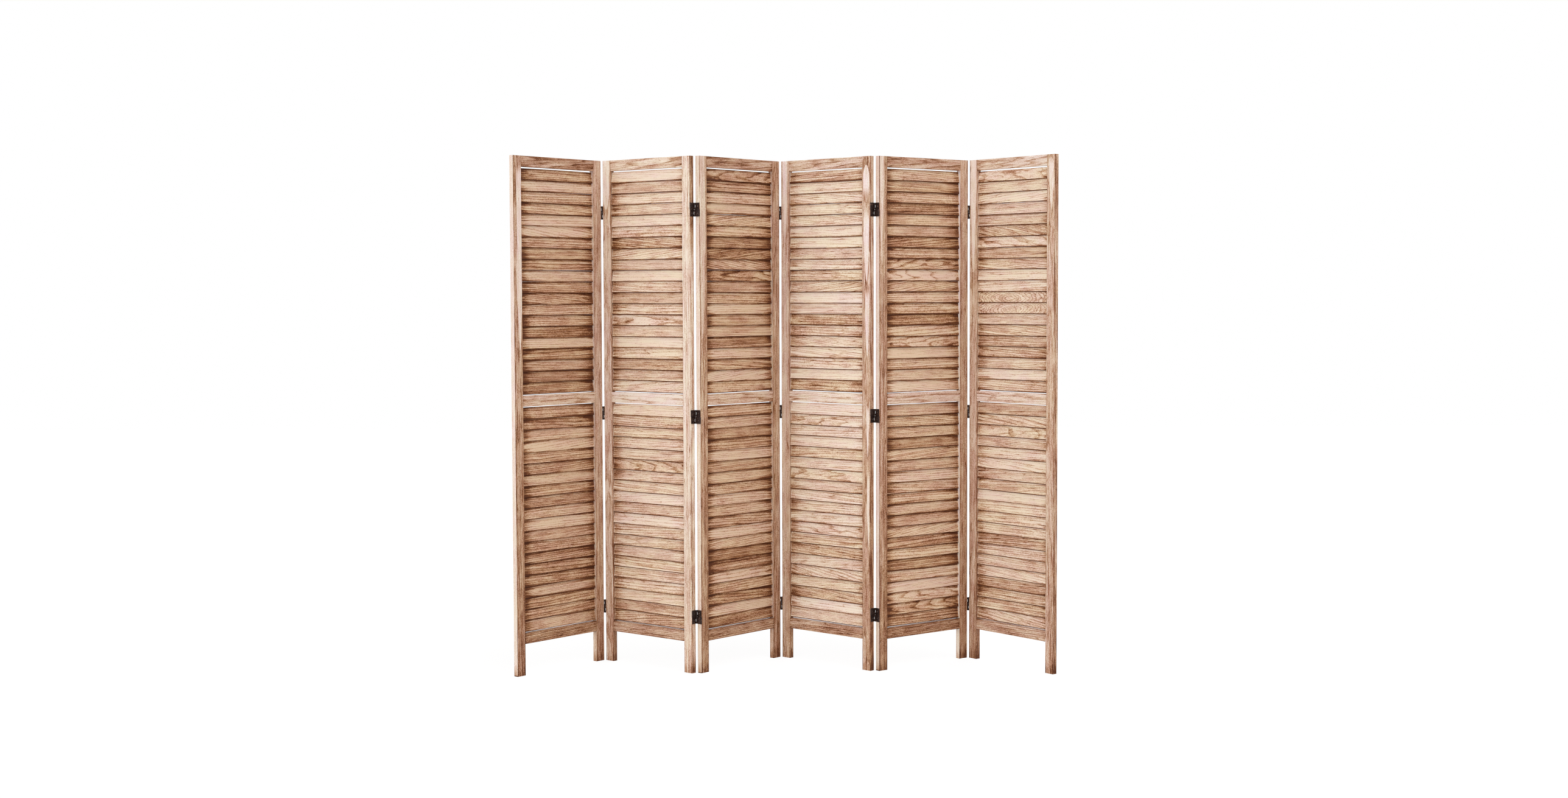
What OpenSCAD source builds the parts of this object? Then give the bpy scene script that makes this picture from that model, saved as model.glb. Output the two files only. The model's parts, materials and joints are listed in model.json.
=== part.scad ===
// Folding room divider of six louvred wooden panels.
//
// Each panel is two stiles, three rails and two bays of slats that turn on round dowels.
// Neighbouring panels hang together on double-action hinges: two leaves, an upper and a
// lower link that cross in the gap, and four pins. The divider stands in a zigzag on the
// ends of its stiles. Every panel is drawn in its own frame (x along the panel, y towards
// its back, z up from the floor) and then set in the zigzag.

/* [Panel] */
// Height of a panel with its legs
panel_h = 1700; // [1400:10:2000]
// Width of a panel
panel_w = 395; // [300:5:500]
// Thickness of the stiles and rails
panel_t = 17.5; // [16:0.5:25]
// Width of a stile
stile_w = 35.5; // [32:0.5:50]
// Height of the top, middle and bottom rails
rail_h = 35.5; // [30:0.5:50]
// Height of the legs below the bottom rail
leg_h = 103.5; // [60:0.5:150]
// Radius along the edges of the stiles and rails
edge_r = 1.2; // [0.6:0.1:2]

/* [Rail tenons] */
// Length of a rail's tenon in the stile
tenon_l = 12; // [8:0.5:16]
// Thickness of a rail's tenon
tenon_t = 7; // [5:0.5:9]
// Shoulder above and below a rail's tenon
tenon_shoulder = 5; // [3:0.5:8]
// Room round a tenon in its mortise
tenon_fit = 0.1; // [0.05:0.05:0.2]

/* [Slats] */
// Number of slats in a bay
slats_per_bay = 20; // [16:1:22]
// Number of the slat in each bay that is drawn free to turn, counted from the bottom
turning_slat_number = 11; // [2:1:15]
// Thickness of a slat
slat_t = 4.5; // [4:0.1:5.5]
// Radius along the edges of a slat
slat_edge_r = 1.5; // [0.8:0.1:1.9]
// How much wider a slat is than the spacing of the slats
slat_lap = 0.2; // [0:0.1:1]
// Gap above the top slat and below the bottom slat of a bay
bay_gap = 4.45; // [3:0.05:8]
// Room between two slats where they lap
slat_play = 0.8; // [0.5:0.1:1.2]
// Gap between the end of a slat and the stile
slat_end_gap = 1; // [0.5:0.1:2]
// Most that a slat stands further open than the closed ones, in degrees
slat_wander_angle = 1.4; // [0:0.1:2.5]
// Radius of the dowel at each end of a slat
dowel_r = 2; // [1.5:0.05:2]
// Length of a slat's dowel inside the stile
dowel_l = 8; // [5:0.5:10]
// Radial room round a dowel in its hole
dowel_play = 0.05; // [0.02:0.01:0.08]
// Room past the end of a dowel
dowel_end_room = 0.5; // [0.3:0.1:1]

/* [Hinges] */
// Gap between two panels that stand in line
panel_gap = 5; // [4.6:0.1:6]
// Height of a hinge
hinge_h = 45; // [40:1:60]
// Height of the low hinges above the bottom rail
low_hinge_rise = 47; // [35:1:90]
// Drop of the middle hinges below the middle rail
mid_hinge_drop = 37; // [32:1:90]
// Drop of the top hinges below the top rail
top_hinge_drop = 139.5; // [60:0.5:200]
// Thickness of a hinge leaf
leaf_t = 1; // [0.8:0.1:1.2]
// Thickness of a hinge link
link_t = 1; // [0.8:0.1:1.2]
// Outer radius of a hinge knuckle
knuckle_r = 1.9; // [1.7:0.05:2]
// Room between a closed hinge's knuckle and the wood
knuckle_room = 0.1; // [0.1:0.05:0.4]
// Gap along a pin between two knuckles
knuckle_gap = 0.3; // [0.2:0.05:0.5]
// Radius of a hinge pin
pin_r = 1; // [0.8:0.05:1.2]
// Radial room between a pin and a knuckle
pin_play = 0.05; // [0.02:0.01:0.08]

/* [Screws] */
// Radius of a screw's shank
screw_r = 1.25; // [1:0.05:1.5]
// Length of a screw in the wood
screw_l = 12; // [8:0.5:14]
// Room past the end of a screw
screw_end_room = 0.5; // [0.3:0.1:1]
// Radius of a screw's head
screw_head_r = 2.6; // [2.2:0.1:3]
// Height of a screw's countersunk head
screw_head_h = 0.8; // [0.6:0.05:0.8]
// Width of the slot in a screw's head
screw_slot_w = 0.6; // [0.4:0.05:0.8]
// Depth of the slot in a screw's head
screw_slot_d = 0.4; // [0.2:0.05:0.5]
// Room round a screw in the leaf and in the wood
screw_fit = 0.05; // [0.02:0.01:0.1]
// Room round a screw's head in the link's access hole
access_room = 0.6; // [0.4:0.1:1]

/* [Zigzag] */
// Direction of the first panel, turned from straight across
first_heading = 49.5; // [30:0.1:60]
// Angle between panels 1 and 2, away from a straight line
fold_angle_1 = 88.7; // [60:0.1:120]
// Angle between panels 2 and 3
fold_angle_2 = 88; // [60:0.1:120]
// Angle between panels 3 and 4
fold_angle_3 = 91.1; // [60:0.1:120]
// Angle between panels 4 and 5
fold_angle_4 = 79.8; // [60:0.1:120]
// Angle between panels 5 and 6
fold_angle_5 = 88.9; // [60:0.1:120]

/* [Hidden] */
$fn = 48;
node = "all";
panel_count = 6;
PARTS = [
    "left_stile", "right_stile", "rails", "fixed_slats", "upper_turning_slat",
    "lower_turning_slat", "hinge_leaves", "hinge_links", "hinge_pins", "hinge_screws"
];
NODES = [for (k = [1:panel_count]) for (part = PARTS) str("panel_", k, "_", part)];

// Colours of the wood and of the dark hinges
stile_colour = "#b98a66";
rail_colour = "#b4835d";
slat_colour = "#c69a73";
hinge_colour = "#3a2b26";
pin_colour = "#2b211e";

// Inside of a panel
inner_w = panel_w - 2 * stile_w;
bay_h = (panel_h - leg_h - 3 * rail_h) / 2;
rail_floors = [leg_h, leg_h + rail_h + bay_h, panel_h - rail_h];
bay_floors = [leg_h + rail_h, leg_h + 2 * rail_h + bay_h];
LOWER = 0;
UPPER = 1;

// Slats: just open enough to pass each other
slat_pitch = (bay_h - 2 * bay_gap) / slats_per_bay;
slat_w = slat_pitch + slat_lap;
slat_l = inner_w - 2 * slat_end_gap;
slat_tilt = asin((slat_t + slat_play) / slat_pitch);
dowel_hole_l = dowel_l + dowel_end_room;

// Hinges: the pins stand clear of the faces, halfway across the gap
half_gap = panel_gap / 2;
pin_out = panel_t / 2 + knuckle_r + knuckle_room;
half_floor = knuckle_gap / 2;
half_h = hinge_h / 2 - half_floor;
knuckle_h = (half_h - 2 * knuckle_gap) / 3;
hinge_heights = [
    leg_h + rail_h + low_hinge_rise,
    rail_floors[1] - mid_hinge_drop,
    panel_h - rail_h - top_hinge_drop
];
screw_height = half_floor + half_h / 2;
link_reach = pin_out - knuckle_r - knuckle_gap;
access_r = screw_head_r + access_room;
over = 1; // how far a cut runs past the surface that it opens

// Zigzag: odd joints fold about their front pins, even joints about their back pins
fold_angles = [fold_angle_1, fold_angle_2, fold_angle_3, fold_angle_4, fold_angle_5];
function folds_front(j) = j % 2 == 1;
function heading(k) = k == 1 ? first_heading
    : heading(k - 1) + (folds_front(k - 1) ? -1 : 1) * fold_angles[k - 2];
function turned(p, a) = [p[0] * cos(a) - p[1] * sin(a), p[0] * sin(a) + p[1] * cos(a)];
function pin_line(j) = folds_front(j) ? -pin_out : pin_out;
function left_end(k) = k == 1 ? [0, 0]
    : left_end(k - 1)
        + turned([panel_w + half_gap, pin_line(k - 1)], heading(k - 1))
        - turned([-half_gap, pin_line(k - 1)], heading(k));
function spot(k, p) = left_end(k) + turned(p, heading(k));

// Middle of the floor space, from the round corners of the panels and the hinge knuckles
corners = [
    for (k = [1:panel_count]) for (x = [edge_r, panel_w - edge_r]) for (side = [-1, 1])
        concat(spot(k, [x, side * (panel_t / 2 - edge_r)]), edge_r)
];
knuckles = [
    for (k = [1:panel_count]) for (side = [-1, 1]) for (end = [0, 1])
        if ((end == 0 && k > 1) || (end == 1 && k < panel_count))
            concat(spot(k, [end == 0 ? -half_gap : panel_w + half_gap, side * pin_out]), knuckle_r)
];
discs = concat(corners, knuckles);
middle = [
    for (axis = [0, 1])
        (min([for (d = discs) d[axis] - d[2]]) + max([for (d = discs) d[axis] + d[2]])) / 2
];

// Height of a slat's dowels, and its own small turn away from closed
function slat_z(bay, i) = bay_floors[bay] + bay_gap + (i - 0.5) * slat_pitch;
function own_turn(k, bay, i) = slat_wander_angle * pow(sin(57 * i + 131 * k + 89 * bay), 2);

function shown(k, part) = node == "all" || node == str("panel_", k, "_", part);

// ---- Shapes that repeat ----

// A rectangle with round corners, centred
module round_rect(w, h, r) {
    square([w - 2 * r, h], center = true);
    square([w, h - 2 * r], center = true);
    for (x = [-1, 1])
        for (y = [-1, 1])
            translate([x * (w / 2 - r), y * (h / 2 - r)])
                circle(r);
}

// A cylinder along x that starts at x = 0
module rod(r, length) {
    rotate([0, 90, 0])
        cylinder(r = r, h = length);
}

// Puts its children at each hinge of a panel, in the frame halfway across the gap
module at_hinges(k, right) {
    if (right ? k < panel_count : k > 1)
        for (z = hinge_heights)
            translate([right ? panel_w + half_gap : -half_gap, 0, z])
                children();
}

// ---- Wood ----

// A stile with its outer edge at x = 0 and its inner face at x = stile_w
module stile(hinged) {
    difference() {
        translate([stile_w / 2, 0, 0])
            linear_extrude(panel_h)
                round_rect(stile_w, panel_t, edge_r);
        for (z = rail_floors)
            translate([
                stile_w - tenon_l - tenon_fit,
                -tenon_t / 2 - tenon_fit,
                z + tenon_shoulder - tenon_fit
            ])
                cube([
                    tenon_l + tenon_fit + over,
                    tenon_t + 2 * tenon_fit,
                    rail_h - 2 * tenon_shoulder + 2 * tenon_fit
                ]);
        for (bay = [LOWER, UPPER])
            for (i = [1:slats_per_bay])
                translate([stile_w - dowel_hole_l, 0, slat_z(bay, i)])
                    rod(dowel_r + dowel_play, dowel_hole_l + over);
        if (hinged)
            for (z = hinge_heights)
                for (side = [-1, 1])
                    translate([-over, 0, z + side * screw_height])
                        rod(screw_r + screw_fit, screw_l + screw_end_room + over);
    }
}

module left_stile(k) {
    color(stile_colour)
        stile(k > 1);
}

module right_stile(k) {
    color(stile_colour)
        translate([panel_w, 0, 0])
            mirror([1, 0, 0])
                stile(k < panel_count);
}

// The three rails between the stiles, each with a tenon at both ends
module rails() {
    color(rail_colour)
        for (z = rail_floors)
            translate([stile_w, 0, z]) {
                translate([0, 0, rail_h / 2])
                    rotate([90, 0, 90])
                        linear_extrude(inner_w)
                            round_rect(panel_t, rail_h, edge_r);
                translate([-tenon_l, -tenon_t / 2, tenon_shoulder])
                    cube([inner_w + 2 * tenon_l, tenon_t, rail_h - 2 * tenon_shoulder]);
            }
}

// One slat at its place in a panel, its lower edge forward, with a dowel at each end
module slat(k, bay, i) {
    translate([panel_w / 2, 0, slat_z(bay, i)])
        rotate([-slat_tilt - own_turn(k, bay, i), 0, 0]) {
            rotate([90, 0, 90])
                linear_extrude(slat_l, center = true)
                    round_rect(slat_t, slat_w, slat_edge_r);
            translate([-inner_w / 2 - dowel_l, 0, 0])
                rod(dowel_r, inner_w + 2 * dowel_l);
        }
}

module turning_slat(k, bay) {
    color(slat_colour)
        slat(k, bay, turning_slat_number);
}

module fixed_slats(k) {
    color(slat_colour)
        for (bay = [LOWER, UPPER])
            for (i = [1:slats_per_bay])
                if (i != turning_slat_number)
                    slat(k, bay, i);
}

// ---- Hinges ----
// In a hinge's frame the left panel is at x < 0. The left leaf has its front pin in the
// upper half and its back pin in the lower half; the right leaf is the same, turned round.

// Puts its children at the two pins of the left leaf, at the floor of that pin's half
module at_leaf_pins() {
    translate([0, -pin_out, half_floor])
        children();
    translate([0, pin_out, -half_floor - half_h])
        children();
}

module left_leaf() {
    outer_knuckles = [0, half_h - knuckle_h];
    difference() {
        union() {
            translate([-half_gap, -panel_t / 2, -hinge_h / 2])
                cube([leaf_t, panel_t, hinge_h]);
            at_leaf_pins()
                for (z = outer_knuckles)
                    translate([0, 0, z])
                        cylinder(r = knuckle_r, h = knuckle_h);
            for (z = outer_knuckles) {
                translate([-half_gap, -pin_out, half_floor + z])
                    cube([leaf_t, pin_out, knuckle_h]);
                translate([-half_gap, 0, -half_floor - half_h + z])
                    cube([leaf_t, pin_out, knuckle_h]);
            }
        }
        at_leaf_pins()
            translate([0, 0, -over])
                cylinder(r = pin_r + pin_play, h = half_h + 2 * over);
        for (side = [-1, 1])
            translate([-half_gap, 0, side * screw_height]) {
                translate([-over, 0, 0])
                    rod(screw_r + screw_fit, leaf_t + 2 * over);
                translate([leaf_t - screw_head_h, 0, 0])
                    rotate([0, 90, 0])
                        cylinder(
                            r1 = screw_r + screw_fit,
                            r2 = screw_head_r + screw_fit,
                            h = screw_head_h
                        );
            }
    }
}

// The upper link, from the left leaf's front pin to the right leaf's back pin
module upper_link() {
    middle_floor = half_floor + knuckle_h + knuckle_gap;
    difference() {
        union() {
            translate([-link_t / 2, -link_reach, half_floor])
                cube([link_t, 2 * link_reach, half_h]);
            translate([-link_t / 2, -pin_out, middle_floor])
                cube([link_t, 2 * pin_out, knuckle_h]);
            for (side = [-1, 1])
                translate([0, side * pin_out, middle_floor])
                    cylinder(r = knuckle_r, h = knuckle_h);
        }
        for (side = [-1, 1])
            translate([0, side * pin_out, 0])
                cylinder(r = pin_r + pin_play, h = hinge_h);
        translate([-link_t / 2 - over, 0, screw_height])
            rod(access_r, link_t + 2 * over);
    }
}

module left_screw() {
    translate([-half_gap + leaf_t, 0, 0])
        difference() {
            union() {
                translate([-screw_head_h, 0, 0])
                    rotate([0, 90, 0])
                        cylinder(r1 = screw_r, r2 = screw_head_r, h = screw_head_h);
                translate([-leaf_t - screw_l, 0, 0])
                    rod(screw_r, screw_l + leaf_t - screw_head_h);
            }
            translate([-screw_slot_d, -screw_head_r - over, -screw_slot_w / 2])
                cube([screw_slot_d + over, 2 * (screw_head_r + over), screw_slot_w]);
        }
}

module hinge_leaves(k) {
    color(hinge_colour) {
        at_hinges(k, true)
            left_leaf();
        at_hinges(k, false)
            rotate([0, 0, 180])
                left_leaf();
    }
}

// Odd panels carry the lower links and even panels the upper ones, at both edges
module hinge_links(k) {
    color(hinge_colour)
        for (right = [false, true])
            at_hinges(k, right)
                rotate([k % 2 == 1 ? 180 : 0, 0, 0])
                    upper_link();
}

module hinge_pins(k) {
    color(pin_colour) {
        at_hinges(k, true)
            at_leaf_pins()
                cylinder(r = pin_r, h = half_h);
        at_hinges(k, false)
            rotate([0, 0, 180])
                at_leaf_pins()
                    cylinder(r = pin_r, h = half_h);
    }
}

module hinge_screws(k) {
    color(pin_colour)
        for (side = [-1, 1]) {
            at_hinges(k, true)
                translate([0, 0, side * screw_height])
                    left_screw();
            at_hinges(k, false)
                rotate([0, 0, 180])
                    translate([0, 0, side * screw_height])
                        left_screw();
        }
}

// ---- The divider ----

for (k = [1:panel_count])
    translate(concat(left_end(k) - middle, 0))
        rotate([0, 0, heading(k)]) {
            if (shown(k, "left_stile")) left_stile(k);
            if (shown(k, "right_stile")) right_stile(k);
            if (shown(k, "rails")) rails();
            if (shown(k, "fixed_slats")) fixed_slats(k);
            if (shown(k, "upper_turning_slat")) turning_slat(k, UPPER);
            if (shown(k, "lower_turning_slat")) turning_slat(k, LOWER);
            if (shown(k, "hinge_leaves")) hinge_leaves(k);
            if (shown(k, "hinge_links")) hinge_links(k);
            if (shown(k, "hinge_pins")) hinge_pins(k);
            if (shown(k, "hinge_screws")) hinge_screws(k);
        }
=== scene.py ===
"""Looks of a folding slat room divider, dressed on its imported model.

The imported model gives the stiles, the rails and the hinges at their places. This script
dresses them in torched pale wood and in dark brown metal, models every slat anew with its
own bow and its own cut from the log, and sets up the floor, the lamps and the camera.
All sizes are in metres and all angles in degrees, unless a name says otherwise.
"""

from __future__ import annotations

import json
import logging
import math
import random
from dataclasses import dataclass, field, replace
from enum import Enum
from typing import Iterator

import bmesh
import bpy
from mathutils import Euler, Matrix, Vector

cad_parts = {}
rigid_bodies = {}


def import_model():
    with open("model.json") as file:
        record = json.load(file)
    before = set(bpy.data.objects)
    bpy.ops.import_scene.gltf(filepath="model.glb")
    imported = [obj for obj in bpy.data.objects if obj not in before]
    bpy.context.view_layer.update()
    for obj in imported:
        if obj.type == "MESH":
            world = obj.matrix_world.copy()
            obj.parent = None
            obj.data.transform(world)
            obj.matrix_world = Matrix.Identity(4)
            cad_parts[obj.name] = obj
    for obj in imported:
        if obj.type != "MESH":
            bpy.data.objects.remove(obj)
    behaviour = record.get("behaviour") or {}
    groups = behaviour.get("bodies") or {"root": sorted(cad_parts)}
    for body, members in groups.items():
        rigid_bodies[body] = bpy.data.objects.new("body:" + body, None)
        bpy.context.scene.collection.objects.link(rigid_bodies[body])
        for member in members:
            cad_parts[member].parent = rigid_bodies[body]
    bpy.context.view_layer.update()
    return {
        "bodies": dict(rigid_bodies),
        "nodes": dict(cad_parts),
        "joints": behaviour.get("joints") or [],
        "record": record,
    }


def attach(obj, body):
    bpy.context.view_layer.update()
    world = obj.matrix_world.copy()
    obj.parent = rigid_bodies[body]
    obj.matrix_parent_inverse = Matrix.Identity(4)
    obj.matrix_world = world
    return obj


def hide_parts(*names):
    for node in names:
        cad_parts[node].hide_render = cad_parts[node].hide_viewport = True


log = logging.getLogger("divider")

Colour = tuple[float, float, float]
Socket = bpy.types.NodeSocket
NO_TINT: Colour = (1.0, 1.0, 1.0)


def from_screen(red: int, green: int, blue: int) -> Colour:
    """Turn a colour as a screen shows it into the linear values that shaders use.

    Args:
        red: Red, from 0 to 255.
        green: Green, from 0 to 255.
        blue: Blue, from 0 to 255.

    Returns:
        The same colour in linear light.
    """
    return tuple(
        part / 12.92 if part <= 0.04045 else ((part + 0.055) / 1.055) ** 2.4
        for part in (red / 255, green / 255, blue / 255)
    )


class Side(Enum):
    """The two stiles of a panel, as seen from its front."""

    LEFT = -1
    RIGHT = 1


class Bay(Enum):
    """The two bays of slats in a panel."""

    LOWER = 0
    UPPER = 1


class Figure(Enum):
    """How a slat was cut from the log, which sets the figure on its face."""

    STRAIGHT = "straight"
    SLOPED = "sloped"
    ARCHED = "arched"
    CURLY = "curly"


# ---- Drawing shaders ----


class Graph:
    """A shader tree that is drawn by short calls."""

    def __init__(self, tree: bpy.types.NodeTree) -> None:
        """Keep the tree that the calls draw in."""
        self.tree = tree

    def node(self, kind: str, *values: object, **settings: object) -> bpy.types.Node:
        """Add a node.

        Args:
            kind: The node's type, without its "ShaderNode" prefix.
            *values: Outputs or plain values for its first inputs, in their order.
            **settings: Values for the node's own properties.

        Returns:
            The new node.
        """
        made = self.tree.nodes.new("ShaderNode" + kind)
        for name, value in settings.items():
            setattr(made, name, value)
        for target, value in zip(made.inputs, values):
            self.feed(target, value)
        return made

    def feed(self, target: Socket, value: object) -> None:
        """Link an output to an input, or set the input to a plain value.

        Args:
            target: The input.
            value: The output or the value.
        """
        if isinstance(value, bpy.types.NodeSocket):
            self.tree.links.new(value, target)
        else:
            target.default_value = value

    def math(self, operation: str, *values: object, clamp: bool = False) -> Socket:
        """Work out a number from up to three others, kept between 0 and 1 by a clamp."""
        return self.node("Math", *values, operation=operation, use_clamp=clamp).outputs[0]

    def vector(self, operation: str, *values: object, output: str = "Vector") -> Socket:
        """Work out a vector, or a number such as a length, from up to three vectors."""
        return self.node("VectorMath", *values, operation=operation).outputs[output]

    def split(self, vector: Socket) -> tuple[Socket, Socket, Socket]:
        """Take a vector apart into its three numbers."""
        return tuple(self.node("SeparateXYZ", vector).outputs)

    def joined(self, x: object, y: object, z: object) -> Socket:
        """Put three numbers together into a vector."""
        return self.node("CombineXYZ", x, y, z).outputs[0]

    def centred(self, value: Socket) -> Socket:
        """Shift a number that runs from 0 to 1 so that it runs around zero."""
        return self.math("SUBTRACT", value, 0.5)

    def weighted(self, start: object, *parts: tuple[object, object]) -> Socket:
        """Add numbers to a first one, each times its weight.

        Args:
            start: The first number.
            *parts: The weights with their numbers.

        Returns:
            The sum's output.
        """
        total = start
        for weight, part in parts:
            total = self.math("MULTIPLY_ADD", part, weight, total)
        return total

    def bump(self, height: Socket, strength: float, depth: float) -> Socket:
        """Turn heights into a bumpy normal.

        Args:
            height: The heights, from 0 to 1.
            strength: How strongly they show.
            depth: Height of 1 in metres.

        Returns:
            The normal's output.
        """
        made = self.node("Bump")
        made.inputs["Strength"].default_value = strength
        made.inputs["Distance"].default_value = depth
        self.feed(made.inputs["Height"], height)
        return made.outputs[0]

    def ramp(self, factor: Socket, stops: tuple[tuple[float, Colour], ...]) -> Socket:
        """Read a row of colours by a number.

        Args:
            factor: The number that is read.
            stops: Places from 0 to 1 in rising order, each with its colour.

        Returns:
            The colour's output.
        """
        made = self.node("ValToRGB", factor)
        row = made.color_ramp.elements
        while len(row) < len(stops):
            row.new(1.0)
        for element, (place, colour) in zip(row, stops):
            element.position = place
            element.color = (*colour, 1.0)
        return made.outputs[0]

    def mix(self, factor: object, first: object, second: object, blend: str = "MIX") -> Socket:
        """Mix two colours.

        Args:
            factor: Share of the second colour.
            first: The first colour.
            second: The second colour.
            blend: The name of the way they mix.

        Returns:
            The result's output.
        """
        made = self.node("Mix", factor, data_type="RGBA", blend_type=blend)
        self.feed(made.inputs[6], first)
        self.feed(made.inputs[7], second)
        return made.outputs[2]


def new_material(name: str) -> tuple[bpy.types.Material, Graph, bpy.types.Node]:
    """Start a material.

    Args:
        name: The material's name.

    Returns:
        The material, its graph and its one surface shader.
    """
    material = bpy.data.materials.new(name)
    material.use_nodes = True
    shader = material.node_tree.nodes["Principled BSDF"]
    return material, Graph(material.node_tree), shader


@dataclass(frozen=True)
class Fade:
    """A soft change of a number between two places.

    Attributes:
        start: Where it starts.
        end: Where it ends.
        before: The number before it.
        after: The number after it.
    """

    start: float
    end: float
    before: float = 0.0
    after: float = 1.0

    def draw(self, graph: Graph, place: object, unit: float = 1.0) -> Socket:
        """Draw the number at a place.

        Args:
            graph: The graph to draw in.
            place: The place that is read.
            unit: Length that the fade's own places are shares of.

        Returns:
            The number's output.
        """
        ends = (self.start * unit, self.end * unit)
        made = graph.node(
            "MapRange", place, *ends, self.before, self.after, interpolation_type="SMOOTHSTEP"
        )
        return made.outputs[0]


@dataclass(frozen=True)
class ByBurn:
    """A number that changes evenly with how strongly the wood was torched.

    Attributes:
        unburnt: The number on wood that wasn't torched.
        change: What full torching adds to it.
    """

    unburnt: float
    change: float

    def draw(self, graph: Graph, burn: object) -> Socket:
        """Draw the number for a strength of torching, and return its output."""
        return graph.math("MULTIPLY_ADD", burn, self.change, self.unburnt)


@dataclass(frozen=True)
class Noise:
    """Soft noise, which on wood runs with the grain.

    Attributes:
        along, across: How often it changes in a metre along and across the grain.
        detail: Number of its finer layers.
        roughness: Strength of the finer layers.
        weight: How strongly it darkens and pales the wood.
    """

    along: float
    across: float
    detail: float = 1
    roughness: float = 0.5
    weight: float = 0.0

    def node(self, graph: Graph, place: Socket) -> bpy.types.Node:
        """Add the noise to a graph.

        Args:
            graph: The graph.
            place: Where the noise is read.

        Returns:
            The noise's node.
        """
        made = graph.node("TexNoise")
        stretched = graph.vector("MULTIPLY", place, (self.along, self.across, self.across))
        graph.feed(made.inputs["Vector"], stretched)
        graph.feed(made.inputs["Scale"], 1.0)
        graph.feed(made.inputs["Detail"], self.detail)
        graph.feed(made.inputs["Roughness"], self.roughness)
        return made

    def number(self, graph: Graph, place: Socket) -> Socket:
        """Draw the noise as a number from 0 to 1."""
        return self.node(graph, place).outputs[0]

    def shift(self, graph: Graph, place: Socket) -> Socket:
        """Draw the noise as a vector around zero."""
        return graph.vector("SUBTRACT", self.node(graph, place).outputs["Color"], (0.5, 0.5, 0.5))


# ---- Finishes ----


@dataclass(frozen=True)
class Cut:
    """How a board lies in the log that it was sawn from.

    Attributes:
        pith_distance: From the log's pith to the board's middle.
        pith_angle: Direction of the pith, 0 behind the face and 90 beside the board.
        climb: Slope of the grain out of the face.
        slope: Slope of the grain across the face.
        start: How far along the log the board was cut.
        coarseness: Size of the figure against the usual one.
    """

    pith_distance: float
    pith_angle: float
    climb: float
    slope: float
    start: float
    coarseness: float = 1.0

    def turn(self) -> Euler:
        """Return the turn from the board's own directions to the log's."""
        return Euler((0.0, math.radians(self.slope), math.radians(self.climb)))

    def offset(self) -> Vector:
        """Find the board's middle in the log.

        Returns:
            Its place, with x along the grain.
        """
        angle = math.radians(self.pith_angle)
        return Vector((
            self.start,
            self.pith_distance * math.cos(angle),
            self.pith_distance * math.sin(angle),
        ))

    def in_log(self) -> Matrix:
        """Return the transform from a board's frame (x along it) to its log's."""
        size = Matrix.Diagonal((1.0, 1 / self.coarseness, 1 / self.coarseness, 1.0))
        return size @ Matrix.Translation(self.offset()) @ self.turn().to_matrix().to_4x4()


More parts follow.
